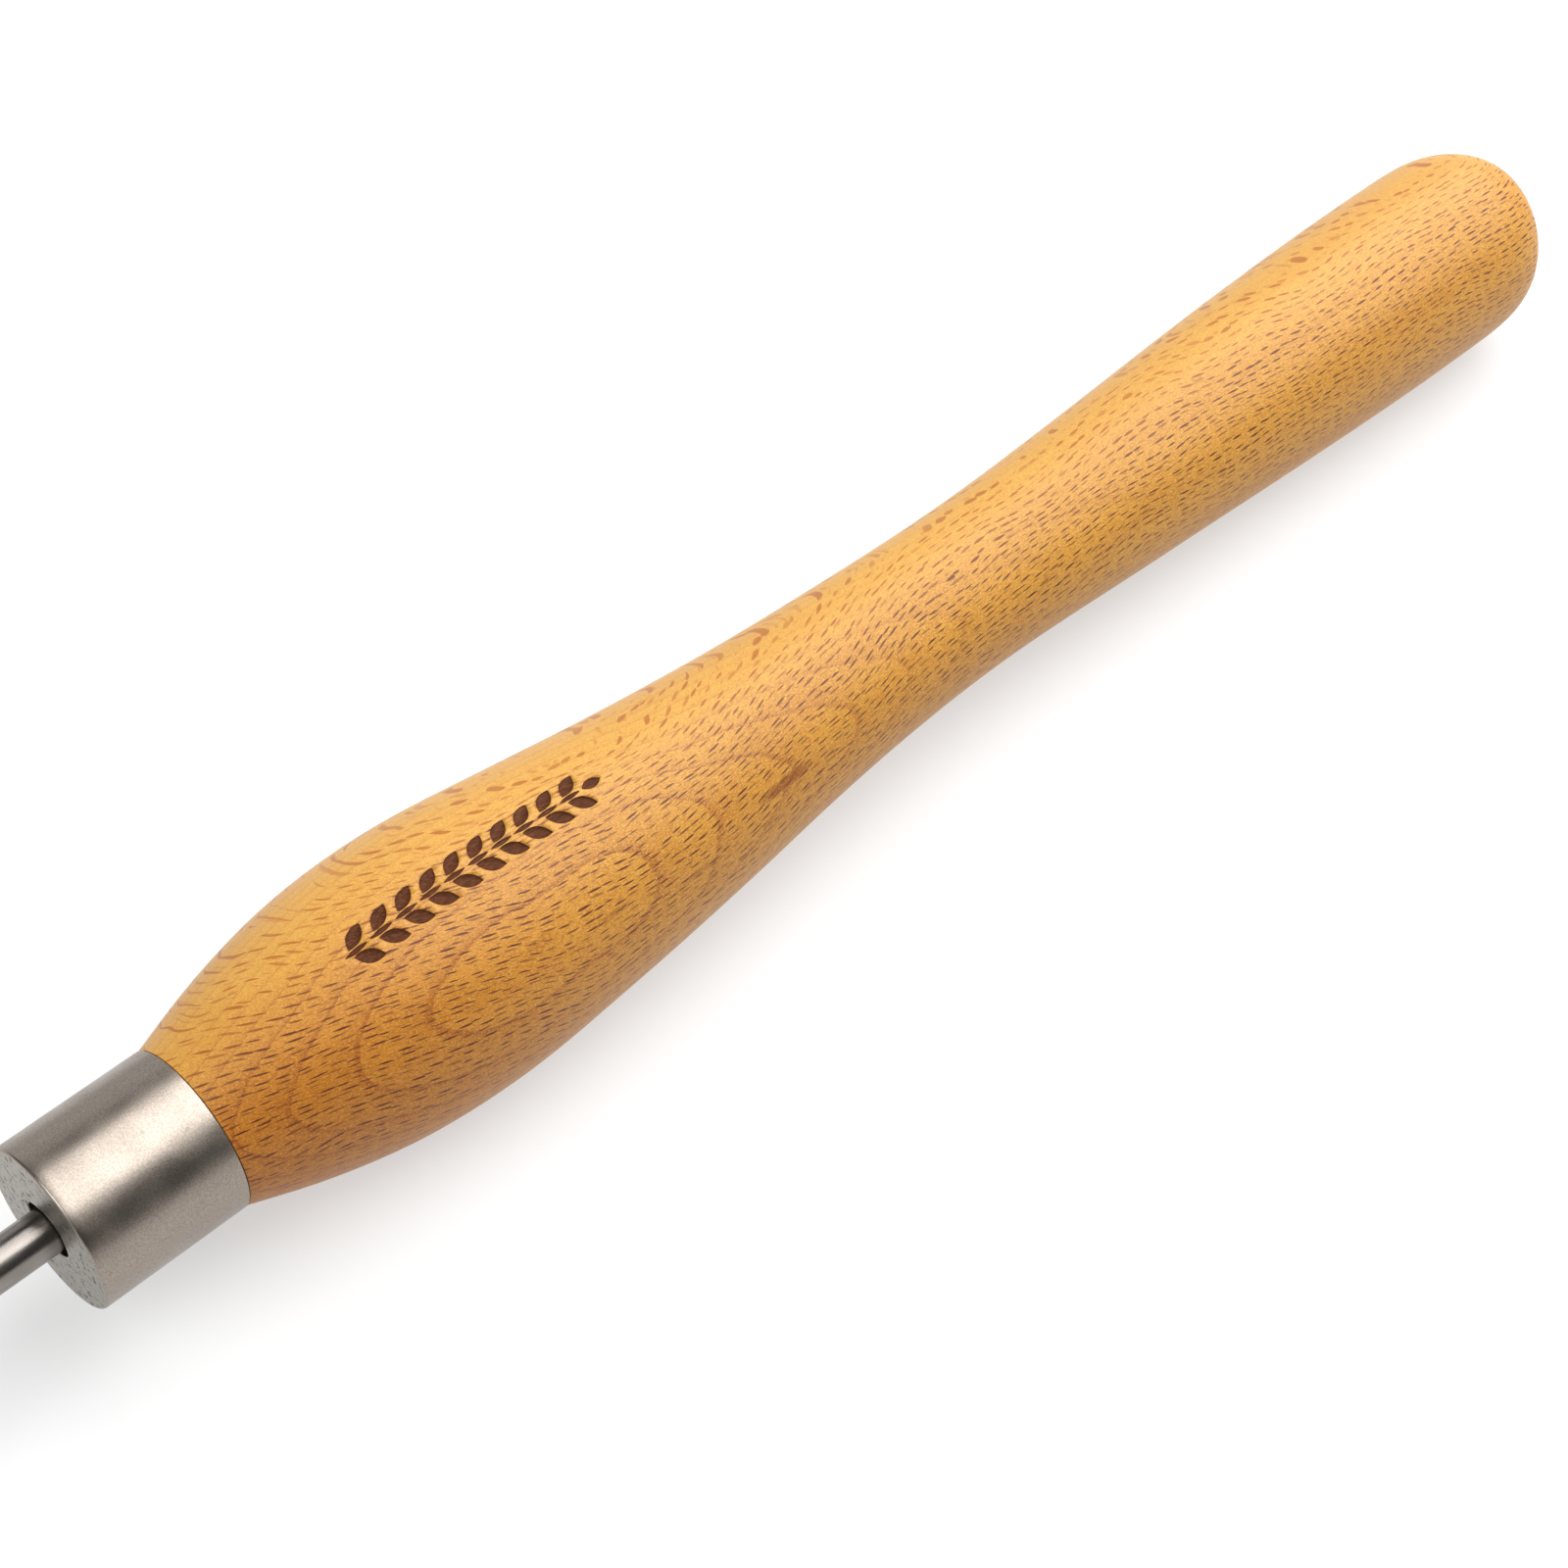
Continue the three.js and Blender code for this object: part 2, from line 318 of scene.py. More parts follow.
# Rays: mean distance between them along and across the grain, then the smallest and the largest
# half length and half width, in millimetres.
LARGE_RAYS = ((2.75, 0.92), (0.85, 1.4), (0.1, 0.15))
SMALL_RAYS = ((2.1, 0.8), (0.3, 0.7), (0.04, 0.07))
SMALL_RAY_STRENGTH = 0.45
RAY_DISORDER = 0.65
RAY_DRIFT = 2.5          # millimetres that the rows of rays wander across the grain

# Natural dark streaks: millimetres behind the joint, turn in degrees, half length, half width
# and strength.
STREAKS = [
    (46, 53, 3, 1.0, 0.25),
    (57.5, 62, 3, 0.5, 0.5),
    (72.5, 73, 3.5, 0.6, 0.5),
    (91.5, 65, 5.5, 1.1, 0.95),
]
STREAK_RADIUS = 17       # of the wood there, about

DARK_BEECH = colour(181, 124, 34)
PALE_BEECH = colour(193, 138, 46)
LATE_WOOD = colour(140, 74, 14)
FIBRE = colour(142, 80, 18)
OPEN_PORE = colour(214, 168, 86)
# Painted light: a paler tone for the handle's upper far side, where the light falls.
PAINTED_LIT_SIDE = colour(208, 165, 88)
RAY_END = colour(92, 40, 0)
RAY_SIDE = colour(150, 78, 14)
STREAK = colour(118, 58, 2)
# Partly a real stain of the finish in the end grain, partly painted shade.
STAIN_AND_SHADE = (0.84, 0.66, 0.48, 1)
DARK_CHAR = colour(60, 27, 10)
PALE_CHAR = colour(104, 58, 28)


def grain_place(nodes):
    """Sockets in millimetres: behind the joint, along the rings, and outward from the pith."""
    x, y, z = nodes.place()
    behind = nodes.times(x, -1)
    wobble = nodes.noise(nodes.stretched((x, y, z), (0.03, 0.09, 0.09)))
    wobble = nodes.minus(wobble, 0.5)
    outward = nodes.plus(nodes.times(y, math.sin(BARK_TURN)), nodes.times(z, math.cos(BARK_TURN)))
    straight = nodes.minus(nodes.times(y, math.cos(BARK_TURN)), nodes.times(z, math.sin(BARK_TURN)))
    outward = nodes.minus(outward, nodes.curve(behind, GRAIN_OUTWARD))
    aside = nodes.minus(straight, nodes.curve(behind, GRAIN_ASIDE))
    aside = nodes.plus(aside, nodes.times(wobble, WOBBLE_ASIDE))
    from_pith = nodes.plus(outward, PITH_DEPTH)
    outward = nodes.minus(nodes.math("SQRT", nodes.squares(from_pith, straight)), PITH_DEPTH)
    outward = nodes.plus(outward, nodes.times(wobble, WOBBLE_OUTWARD))
    return behind, aside, outward


def rays(nodes, grain, cell, half_length, half_width):
    """Share of ray at each place, and a random number for each ray.

    The rays are thin upright spindles that run outward from the pith. cell is the mean distance
    between them along and across the grain; half_length and half_width are (smallest, largest).
    """
    behind, aside, _ = grain
    drift = nodes.noise(nodes.stretched(grain, (0.05, 0.1, 0.12)), detail=0)
    across = nodes.plus(aside, nodes.times(drift, RAY_DRIFT))
    vector = nodes.vector(nodes.over(behind, cell[0]), nodes.over(across, cell[1]), 0.0)
    inputs = {"Vector": vector, "Scale": 1.0, "Randomness": RAY_DISORDER}
    cells = nodes.add("ShaderNodeTexVoronoi", inputs, voronoi_dimensions="2D")
    centre = cells.outputs["Position"]
    away = nodes.add("ShaderNodeVectorMath", {0: vector, 1: centre}, operation="SUBTRACT")
    away_along, away_across, _ = nodes.add("ShaderNodeSeparateXYZ", {0: away.outputs[0]}).outputs
    chance, other_chance, _ = nodes.add("ShaderNodeSeparateColor", {0: cells.outputs["Color"]}).outputs
    length = nodes.spread(chance, half_length[0] / cell[0], half_length[1] / cell[0])
    width = nodes.spread(chance, half_width[0] / cell[1], half_width[1] / cell[1])
    along_share = nodes.over(away_along, length)
    across_share = nodes.math("ABSOLUTE", nodes.over(away_across, width))
    inside = nodes.minus(nodes.minus(1.0, nodes.times(along_share, along_share)), across_share)
    return nodes.ease(inside, -0.1, 0.3), other_chance


def plain_beech(nodes, grain):
    """The wood's broad tone with its year rings. Late wood darkens up to a sharp line."""
    behind, _, outward = grain
    broad = nodes.noise(nodes.stretched(grain, (0.01, 0.14, 0.09)))
    wood = nodes.mix(nodes.ease(broad, 0.3, 0.7), DARK_BEECH, PALE_BEECH)
    phase = nodes.math("FRACT", nodes.over(nodes.minus(outward, RING_OFFSET), RING_WIDTH))
    end = nodes.ease(phase, 1.0, 0.97)
    late = nodes.times(nodes.ease(phase, 0.3, 0.95, low=0, high=0.22), end)
    late = nodes.times(late, nodes.ease(behind, 90, 150, low=1, high=0.5))
    line = nodes.times(nodes.ease(phase, 0.84, 0.96), end)
    line = nodes.times(line, nodes.ease(behind, 70, 150, low=0.55, high=0.12))
    return nodes.mix(nodes.plus(late, line), wood, LATE_WOOD)


def all_rays(nodes, grain):
    """Share of large and small rays together."""
    large, tone = rays(nodes, grain, *LARGE_RAYS)
    small, _ = rays(nodes, grain, *SMALL_RAYS)
    large = nodes.times(large, nodes.ease(tone, 0, 0.7, low=0.6, high=1))
    return nodes.math("MAXIMUM", large, nodes.times(small, SMALL_RAY_STRENGTH))


def with_rays(nodes, wood, dark):
    """Wood with its rays, and painted light that makes the upper far side paler. Seen from its side a ray
    is a paler, redder fleck than seen from its end.
    """
    normal = nodes.add("ShaderNodeTexCoord").outputs["Normal"]
    side = (0, math.cos(BARK_TURN), -math.sin(BARK_TURN))
    product = nodes.add("ShaderNodeVectorMath", {0: normal, 1: side}, operation="DOT_PRODUCT")
    facing = product.outputs["Value"]
    flat_on = nodes.ease(nodes.math("ABSOLUTE", facing), 0.45, 0.92)
    # Painted light: the wood turns paler where it faces up and towards the far side, towards the light.
    wood = nodes.mix(nodes.ease(facing, -0.4, -0.95, low=0, high=0.35), wood, PAINTED_LIT_SIDE)
    strength = nodes.minus(1.0, nodes.times(flat_on, 0.25))
    return nodes.mix(nodes.times(dark, strength), wood, nodes.mix(flat_on, RAY_END, RAY_SIDE))


def dark_streak(nodes, behind, turn, half_length, half_width, strength):
    """Share of a lens of dark wood, drawn on the surface along the tool."""
    x, y, z = nodes.place()
    along = nodes.over(nodes.plus(x, behind), half_length)
    across = nodes.minus(nodes.math("ARCTAN2", y, z), math.radians(turn))
    across = nodes.over(nodes.times(across, STREAK_RADIUS), half_width)
    return nodes.ease(nodes.squares(along, across), 1.4, 0.1, low=0, high=strength)


def shoulder_stain_and_shade(nodes, wood, behind):
    """Darker wood at the shoulder: partly a real stain, where wood cut across the grain took in more of the
    finish, and partly painted shade, most of it on the side that faces away from the light.
    """
    _, y, _ = nodes.place()
    # Painted shade: the darkening grows towards the joint and is strongest on the side away from the light;
    # near the joint it is also the real stain.
    share = nodes.times(nodes.ease(behind, 80, -10), nodes.ease(y, -4, 12, low=0.1, high=1))
    return nodes.mix(share, wood, STAIN_AND_SHADE, blend="MULTIPLY")


def beech():
    nodes = Nodes("lacquered_beech")
    grain = grain_place(nodes)
    wood = plain_beech(nodes, grain)
    fibre = nodes.noise(nodes.stretched(grain, (1.9, 5.6, 5.6)), detail=3, roughness=0.8)
    wood = nodes.mix(nodes.ease(fibre, 0.42, 0.6, low=0, high=0.6), wood, FIBRE)
    pores = nodes.noise(nodes.stretched(grain, (3.1, 6.1, 6.1)), detail=2, roughness=0.85)
    wood = nodes.mix(nodes.ease(pores, 0.5, 0.62, low=0, high=0.55), wood, OPEN_PORE)
    dark = all_rays(nodes, grain)
    wood = with_rays(nodes, wood, dark)
    for streak in STREAKS:
        share = nodes.times(dark_streak(nodes, *streak), nodes.ease(fibre, 0.3, 0.6, low=0.35, high=1))
        wood = nodes.mix(share, wood, STREAK)
    height = nodes.minus(nodes.times(pores, 0.25), dark)
    return nodes.finish(
        Base_Color=shoulder_stain_and_shade(nodes, wood, grain[0]),
        Roughness=nodes.ease(pores, 0.3, 0.7, low=0.42, high=0.55),
        Specular_IOR_Level=0.35,
        Sheen_Weight=0.1,
        Sheen_Roughness=0.35,
        Normal=nodes.bump(height, 0.02 * MM),
    )


def scorched_beech():
    nodes = Nodes("scorched_beech")
    streaks = nodes.noise(nodes.stretched(grain_place(nodes), (0.8, 6, 6)), detail=4, roughness=0.7)
    return nodes.finish(
        Base_Color=nodes.mix(nodes.ease(streaks, 0.35, 0.75), DARK_CHAR, PALE_CHAR),
        Roughness=0.7,
        Specular_IOR_Level=0.15,
        Normal=nodes.bump(streaks, 0.05 * MM),
    )


# ---------------------------------------------------------------- steel and glue

DARK_SATIN = colour(140, 130, 120)
PALE_SATIN = colour(162, 152, 142)
SATIN_SPECK = colour(110, 104, 98)
DARK_RAW = colour(122, 116, 107)
PALE_RAW = colour(164, 158, 148)
RAW_RING = colour(170, 166, 157)
RAW_PIT = colour(34, 31, 28)
DARK_BAR = colour(132, 126, 121)
PALE_BAR = colour(152, 146, 141)
DARK_GROUND = colour(182, 180, 178)
PALE_GROUND = colour(214, 212, 210)
DARK_EPOXY = colour(150, 116, 60)
PALE_EPOXY = colour(196, 164, 104)


def turned_steel():
    """Satin steel with fine lathe lines round the axis."""
    nodes = Nodes("turned_steel")
    place = nodes.place()
    even = nodes.vector(*place)
    lines = nodes.noise(nodes.stretched(place, (9, 0.25, 0.25)), detail=3, roughness=0.65)
    frost = nodes.noise(even, scale=4.5)
    smudge = nodes.noise(even, scale=0.18)
    tone = nodes.mix(nodes.ease(frost, 0.3, 0.7), DARK_SATIN, PALE_SATIN)
    spots = nodes.add("ShaderNodeTexVoronoi", {"Vector": even, "Scale": 0.22})
    speck = nodes.ease(spots.outputs["Distance"], 0.09, 0.05)
    height = nodes.plus(nodes.times(lines, 0.6), nodes.times(frost, 0.7))
    return nodes.finish(
        Base_Color=nodes.mix(nodes.times(speck, 0.35), tone, SATIN_SPECK),
        Metallic=1.0,
        Roughness=nodes.ease(smudge, 0.3, 0.7, low=0.30, high=0.38),
        Normal=nodes.bump(height, 0.012 * MM),
    )


def raw_steel():
    """The ferrule's front: pitted, with faint rings from the saw and the lathe."""
    nodes = Nodes("raw_steel")
    x, y, z = nodes.place()
    across = nodes.stretched((x, y, z), (2, 1, 1))
    radius = nodes.math("SQRT", nodes.squares(y, z))
    rings = nodes.noise(nodes.vector(nodes.times(radius, 3), 0.0, 0.0), detail=3)
    grit = nodes.noise(across, scale=3.2, detail=4, roughness=0.7)
    pits = nodes.noise(across, scale=1.1, detail=5, roughness=0.75)
    pit = nodes.ease(pits, 0.45, 0.39)
    tone = nodes.mix(nodes.ease(grit, 0.3, 0.7), DARK_RAW, PALE_RAW)
    tone = nodes.mix(nodes.ease(rings, 0.4, 0.65, low=0, high=0.35), tone, RAW_RING)
    height = nodes.minus(nodes.times(grit, 0.5), pit)
    return nodes.finish(
        Base_Color=nodes.mix(pit, tone, RAW_PIT),
        Metallic=0.9,
        Roughness=nodes.ease(grit, 0.3, 0.7, low=0.28, high=0.42),
        Normal=nodes.bump(height, 0.05 * MM),
    )


def bar_steel():
    """Ground and polished bar."""
    nodes = Nodes("bar_steel")
    place = nodes.place()
    lines = nodes.noise(nodes.stretched(place, (14, 0.8, 0.8)), detail=3, roughness=0.6)
    cloud = nodes.noise(nodes.stretched(place, (0.2, 1, 1)), scale=0.5, detail=3)
    return nodes.finish(
        Base_Color=nodes.mix(nodes.ease(cloud, 0.3, 0.7), DARK_BAR, PALE_BAR),
        Metallic=1.0,
        Roughness=nodes.ease(cloud, 0.3, 0.7, low=0.25, high=0.32),
        Normal=nodes.bump(lines, 0.004 * MM),
    )


def ground_steel():
    """The flute and the bevel, with the wheel's scratches along the tool."""
    nodes = Nodes("ground_steel")
    scratches = nodes.noise(nodes.stretched(nodes.place(), (0.5, 11, 11)), detail=4, roughness=0.7)
    return nodes.finish(
        Base_Color=nodes.mix(nodes.ease(scratches, 0.3, 0.7), DARK_GROUND, PALE_GROUND),
        Metallic=1.0,
        Roughness=nodes.ease(scratches, 0.3, 0.7, low=0.28, high=0.38),
        Normal=nodes.bump(scratches, 0.012 * MM),
    )


def epoxy():
    nodes = Nodes("epoxy")
    cloud = nodes.noise(nodes.vector(*nodes.place()), scale=0.6, detail=3)
    return nodes.finish(
        Base_Color=nodes.mix(cloud, DARK_EPOXY, PALE_EPOXY),
        Roughness=nodes.ease(cloud, 0.3, 0.7, low=0.25, high=0.4),
    )


# ---------------------------------------------------------------- mesh helpers

def object_from(name, mesh_builder, materials):
    """A piece from a bmesh in the tool's axes."""
    mesh = bpy.data.meshes.new(name)
    mesh_builder.to_mesh(mesh)
    mesh_builder.free()
    for material in materials:
        mesh.materials.append(material)
    piece = bpy.data.objects.new(name, mesh)
    bpy.context.scene.collection.objects.link(piece)
    return piece


def settle(piece):
    """Applies the piece's modifiers to its mesh."""
    bpy.context.view_layer.update()
    graph = bpy.context.evaluated_depsgraph_get()
    mesh = bpy.data.meshes.new_from_object(piece.evaluated_get(graph))
    piece.modifiers.clear()
    piece.data = mesh


def smooth(piece, sharp_from):
    piece.data.shade_smooth()
    piece.data.set_sharp_from_angle(angle=math.radians(sharp_from))


def cut(piece, cutter):
    """Takes the cutter out of the piece. The cut faces get the cutter's material."""
    modifier = piece.modifiers.new("cut", "BOOLEAN")
    modifier.operation = "DIFFERENCE"
    modifier.solver = "EXACT"
    modifier.material_mode = "TRANSFER"
    modifier.object = cutter
    settle(piece)
    bpy.data.objects.remove(cutter)


def turn_ring(x, radii):
    """A ring of points about the axis at x millimetres, one point for each radius."""
    sides = len(radii)
    turns = [2 * math.pi * index / sides for index in range(sides)]
    return [Vector((x, *around(turn, radius))) * MM for turn, radius in zip(turns, radii)]


def loft(rings, closed):
    """A bmesh through rings of points, all of the same count. closed joins the last ring to the first."""
    made = bmesh.new()
    rows = [[made.verts.new(point) for point in ring] for ring in rings]
    count = len(rows[0])
    pairs = list(zip(rows, rows[1:]))
    if closed:
        pairs.append((rows[-1], rows[0]))
    for first, second in pairs:
        for index in range(count):
            after = (index + 1) % count
            made.faces.new((first[index], first[after], second[after], second[index]))
    return made


def cap_ends(made):
    """Closes the open ends of a loft with one face each."""
    edges = [edge for edge in made.edges if edge.is_boundary]
    bmesh.ops.holes_fill(made, edges=edges, sides=0)


def settle_normals(made):
    bmesh.ops.recalc_face_normals(made, faces=made.faces)


def belongs(piece, node):
    """Lays a finished piece where the CAD tool lies, in place of its CAD node."""
    piece.data.transform(TOOL)
    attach(piece, "root")
    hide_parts(node)


# ---------------------------------------------------------------- handle

SAME_PLACE = 1e-6        # metres between two vertices that are one
CREASE_FROM = math.radians(40)
ROUNDING_LEVELS = 2
SHARP_WOOD = 35          # degrees between faces from which an edge stays sharp

# A generic sprig burnt into the bulge, with its stem along the tool.
SPRIG_START = 23.5       # millimetres behind the joint
SPRIG_LENGTH = 43.0
SPRIG_TURNS = (13.5, 9)  # degrees about the axis at its two ends
LEAF_LENGTH = 4.2
LEAF_WIDTH = 2.0
LEAF_LEAN = math.radians(33)
LEAF_PAIRS = 10
LEAF_STEPS = 12
LEAF_BLUNT = 0.02        # share cut off each of a leaf's points, so that no face is empty
END_LEAF = 0.8           # size of the leaf at the stem's end, as a share of the others
LEAF_CLEAR = 0.55        # from the stem's middle to where a leaf starts
STEM_WIDTH = 0.75
STEM_SHARE = 0.92        # of the distance between pairs of leaves; the rest is a gap in the stem
BURN_DEPTH = 0.16
CUTTER_RISE = 0.6        # how far the cutter stands out of the wood
INSIDE_WOOD = 8          # millimetres from the axis, inside the wood along the whole sprig


def make_handle(wood, scorch):
    """The CAD handle, smoothed by subdivision, with the burnt sprig sunk into it."""
    source = frame["nodes"]["handle"].data.copy()
    source.transform(TO_TOOL)
    made = bmesh.new()
    made.from_mesh(source)
    bmesh.ops.remove_doubles(made, verts=made.verts, dist=SAME_PLACE)
    bmesh.ops.join_triangles(
        made,
        faces=made.faces,
        angle_face_threshold=CREASE_FROM,
        angle_shape_threshold=math.pi,
    )
    crease = made.edges.layers.float.new("crease_edge")
    for edge in made.edges:
        if len(edge.link_faces) == 2 and edge.calc_face_angle() > CREASE_FROM:
            edge[crease] = 1
    skin = BVHTree.FromBMesh(made)
    handle = object_from("turned_handle", made, [wood])
    subdivision = handle.modifiers.new("round", "SUBSURF")
    subdivision.levels = ROUNDING_LEVELS
    subdivision.render_levels = ROUNDING_LEVELS
    settle(handle)
    cut(handle, burnt_sprig(skin, scorch))
    smooth(handle, SHARP_WOOD)
    belongs(handle, "handle")


def burnt_sprig(skin, scorch):
    """Cutter for the sprig: pairs of leaves, the stem in short pieces, and a leaf at the end."""
    made = bmesh.new()
    pitch = SPRIG_LENGTH / (LEAF_PAIRS + 0.5)
    for index in range(LEAF_PAIRS):
        start = (index + 0.25) * pitch
        for side in (-1, 1):
            along = (math.cos(LEAF_LEAN), side * math.sin(LEAF_LEAN))
            add_leaf(made, skin, (start, side * LEAF_CLEAR), along, LEAF_LENGTH, LEAF_WIDTH)
    for index in range(LEAF_PAIRS):
        add_leaf(made, skin, (index * pitch, 0), (1, 0), pitch * STEM_SHARE, STEM_WIDTH)
    end = (LEAF_PAIRS * pitch, 0)
    add_leaf(made, skin, end, (1, 0), LEAF_LENGTH * END_LEAF, LEAF_WIDTH * END_LEAF)
    settle_normals(made)
    return object_from("sprig_cutter", made, [scorch])


def leaf_rows(made, skin, start, along, length, width, height):
    """Rows of three vertices across a leaf, at one height above the wood."""
    rows = []
    for step in range(LEAF_STEPS + 1):
        share = LEAF_BLUNT + (1 - 2 * LEAF_BLUNT) * step / LEAF_STEPS
        half = width / 2 * 4 * share * (1 - share)
        row = []
        for side in (-1, 0, 1):
            u = start[0] + along[0] * share * length - along[1] * side * half
            v = start[1] + along[1] * share * length + along[0] * side * half
            row.append(made.verts.new(on_skin(skin, u, v, height)))
        rows.append(row)
    return rows


def add_leaf(made, skin, start, along, length, width):
    """A closed pointed leaf that reaches from outside the wood to the burn's floor."""
    floor_rows = leaf_rows(made, skin, start, along, length, width, -BURN_DEPTH)
    top_rows = leaf_rows(made, skin, start, along, length, width, CUTTER_RISE)
    for step in range(LEAF_STEPS):
        for rows in (floor_rows, top_rows):
            near, far = rows[step], rows[step + 1]
            for side in (0, 1):
                made.faces.new((near[side], far[side], far[side + 1], near[side + 1]))
        low, low_far = floor_rows[step], floor_rows[step + 1]
        high, high_far = top_rows[step], top_rows[step + 1]
        for side in (0, 2):
            made.faces.new((low[side], low_far[side], high_far[side], high[side]))
    for step in (0, LEAF_STEPS):
        low, high = floor_rows[step], top_rows[step]
        for side in (0, 1):
            made.faces.new((low[side], low[side + 1], high[side + 1], high[side]))


def on_skin(skin, u, v, height):
    """The point u along the sprig and v across it, in millimetres, that much above the wood."""
    axis_point = Vector((-(SPRIG_START + u) * MM, 0, 0))
    turn = math.radians(np.interp(u, (0, SPRIG_LENGTH), SPRIG_TURNS))
    outward = Vector((0, *around(turn, 1)))
    inside = INSIDE_WOOD * MM
    _, _, _, distance = skin.ray_cast(axis_point + outward * inside, outward)
    radius = distance + inside
    return axis_point + Vector((0, *around(turn + v * MM / radius, radius + height * MM)))


# ---------------------------------------------------------------- ferrule

FERRULE_SIDES = 288
FACE_STEPS = 36
EDGE_ROUND = 0.4         # radius of the front edge
EDGE_STEPS = 5
WALL_RINGS = 24
DULL = 0.12              # how far the other edges are dulled
HAIRLINE = 0.1           # gap that shows as a line at the joint
SHARP_FERRULE = 35
NEARLY = 0.05            # how exactly a vertex of the CAD ferrule is looked up
WITHIN_WALL = 0.5        # less than the wall is thick


def square_hole(half, corner, turn):
    """Radius of a rounded square hole at each side's turn; one corner points at turn."""
    radii = []
    for index in range(FERRULE_SIDES):
        angle = 2 * math.pi * index / FERRULE_SIDES - turn + math.pi / 4
        angle = abs((angle + math.pi / 4) % (math.pi / 2) - math.pi / 4)
        flat = half / math.cos(angle)
        straight = half - corner
        across = straight * (math.cos(angle) + math.sin(angle))
        inner = across ** 2 - 2 * straight ** 2 + corner ** 2
        rounded = across + math.sqrt(max(inner, 0))
        radii.append(flat if flat * math.sin(angle) < straight else rounded)
    return np.array(radii)


def ferrule_measures():
    """Outer and inner radius, where the front wall starts, and the hole's radii, from the CAD."""
    points = tool_points("ferrule") / MM
    radii = np.hypot(points[:, 1], points[:, 2])
    outer = radii.max()
    at_joint = points[:, 0] < NEARLY
    inner = radii[at_joint & (radii < outer - WITHIN_WALL)].max()
    front = points[(radii > inner - NEARLY) & (radii < inner + NEARLY), 0].max()
    hole = points[radii < outer / 2]
    reach = np.hypot(hole[:, 1], hole[:, 2])
    corner_point = hole[reach.argmax()]
    turn = math.atan2(corner_point[1], corner_point[2])
    half = reach.min()
    corner = (half * math.sqrt(2) - reach.max()) / (math.sqrt(2) - 1)
    return outer, inner, front, square_hole(half, corner, turn)


def make_ferrule(turned, raw):
    """Rings that run from the hole over the face, along the outside and back through the cup."""
    outer, inner, front, hole = ferrule_measures()
    length = FERRULE_LENGTH / MM
    even = np.ones(FERRULE_SIDES)
    rings = [turn_ring(length - DULL, hole)]
    for step in range(FACE_STEPS + 1):
        share = step / FACE_STEPS
        rings.append(turn_ring(length, (hole + DULL) * (1 - share) + (outer - EDGE_ROUND) * share))
    face_rings = len(rings)
    for step in range(1, EDGE_STEPS + 1):
        angle = math.pi / 2 * step / EDGE_STEPS
        drop = EDGE_ROUND * (1 - math.cos(angle))
        rings.append(turn_ring(length - drop, even * (outer - EDGE_ROUND * (1 - math.sin(angle)))))
    for x in np.linspace(length - EDGE_ROUND, HAIRLINE + DULL, WALL_RINGS)[1:]:
        rings.append(turn_ring(x, even * outer))
    rings.append(turn_ring(HAIRLINE, even * (outer - DULL)))
    rings.append(turn_ring(HAIRLINE, even * (inner + DULL)))
    rings.append(turn_ring(HAIRLINE + DULL, even * inner))
    rings.append(turn_ring(front - DULL, even * inner))
    rings.append(turn_ring(front, even * (inner - DULL)))
    rings.append(turn_ring(front, hole))
    made = loft(rings, closed=True)
    made.faces.ensure_lookup_table()
    for face in made.faces[:FERRULE_SIDES * (face_rings - 1)]:
        face.material_index = 1
    settle_normals(made)
    ferrule = object_from("closed_ferrule", made, [turned, raw])
    smooth(ferrule, SHARP_FERRULE)
    belongs(ferrule, "ferrule")


# ---------------------------------------------------------------- blade

BLADE_REACH = 150        # ferrule face to cutting edge
BAR_SIDES = 160
BAR_RINGS = 40
TANG_CHAMFER = 0.8
NEAR_AXIS = 0.01         # radius of the smallest ring, which an end face closes
FLUTE_RADIUS = 2.1
FLUTE_DROP = 0.5         # floor below the bar's centre line
FLUTE_LENGTH = 92
RUNOUT_RADIUS = 60
NOSE_BEVEL = math.radians(45)
WING_BEVEL = math.radians(29)
WING_SWEEP = 5           # how far the wings' ends stand behind the nose
WING_TURN = math.radians(112)
SHARP_BLADE = 25
BAR_PAST_TIP = 1         # the bar is made this much too long, and the bevel takes it off

# The two cutters.
FLUTE_PAST_TIP = 2
FLUTE_STEPS = 30
RUNOUT_STEPS = 24
FLUTE_ARC_POINTS = 49
EDGE_POINTS = 61
BEVEL_SIDES = 144
BEVEL_REACHES = (0.6, 7.2)
BEVEL_RINGS = 34
BEVEL_PAST_TIP = 5


def make_blade(bar, ground):
    points = tool_points("gouge_blade") / MM
    radius = np.hypot(points[:, 1], points[:, 2]).max()
    back = points[:, 0].min()
    tip = FERRULE_LENGTH / MM + BLADE_REACH
    past_tip = tip + BAR_PAST_TIP
    outline = [(back, NEAR_AXIS), (back, radius - TANG_CHAMFER), (back + TANG_CHAMFER, radius)]
    outline += [(x, radius) for x in np.linspace(back + TANG_CHAMFER, past_tip, BAR_RINGS)[1:]]
    outline.append((past_tip, NEAR_AXIS))
    made = loft([turn_ring(x, [reach] * BAR_SIDES) for x, reach in outline], closed=False)
    cap_ends(made)
    settle_normals(made)
    blade = object_from("fluted_blade", made, [bar])
    cut(blade, flute_cutter(tip, radius, ground))
    cut(blade, bevel_cutter(tip, ground))
    smooth(blade, SHARP_BLADE)
    belongs(blade, "gouge_blade")


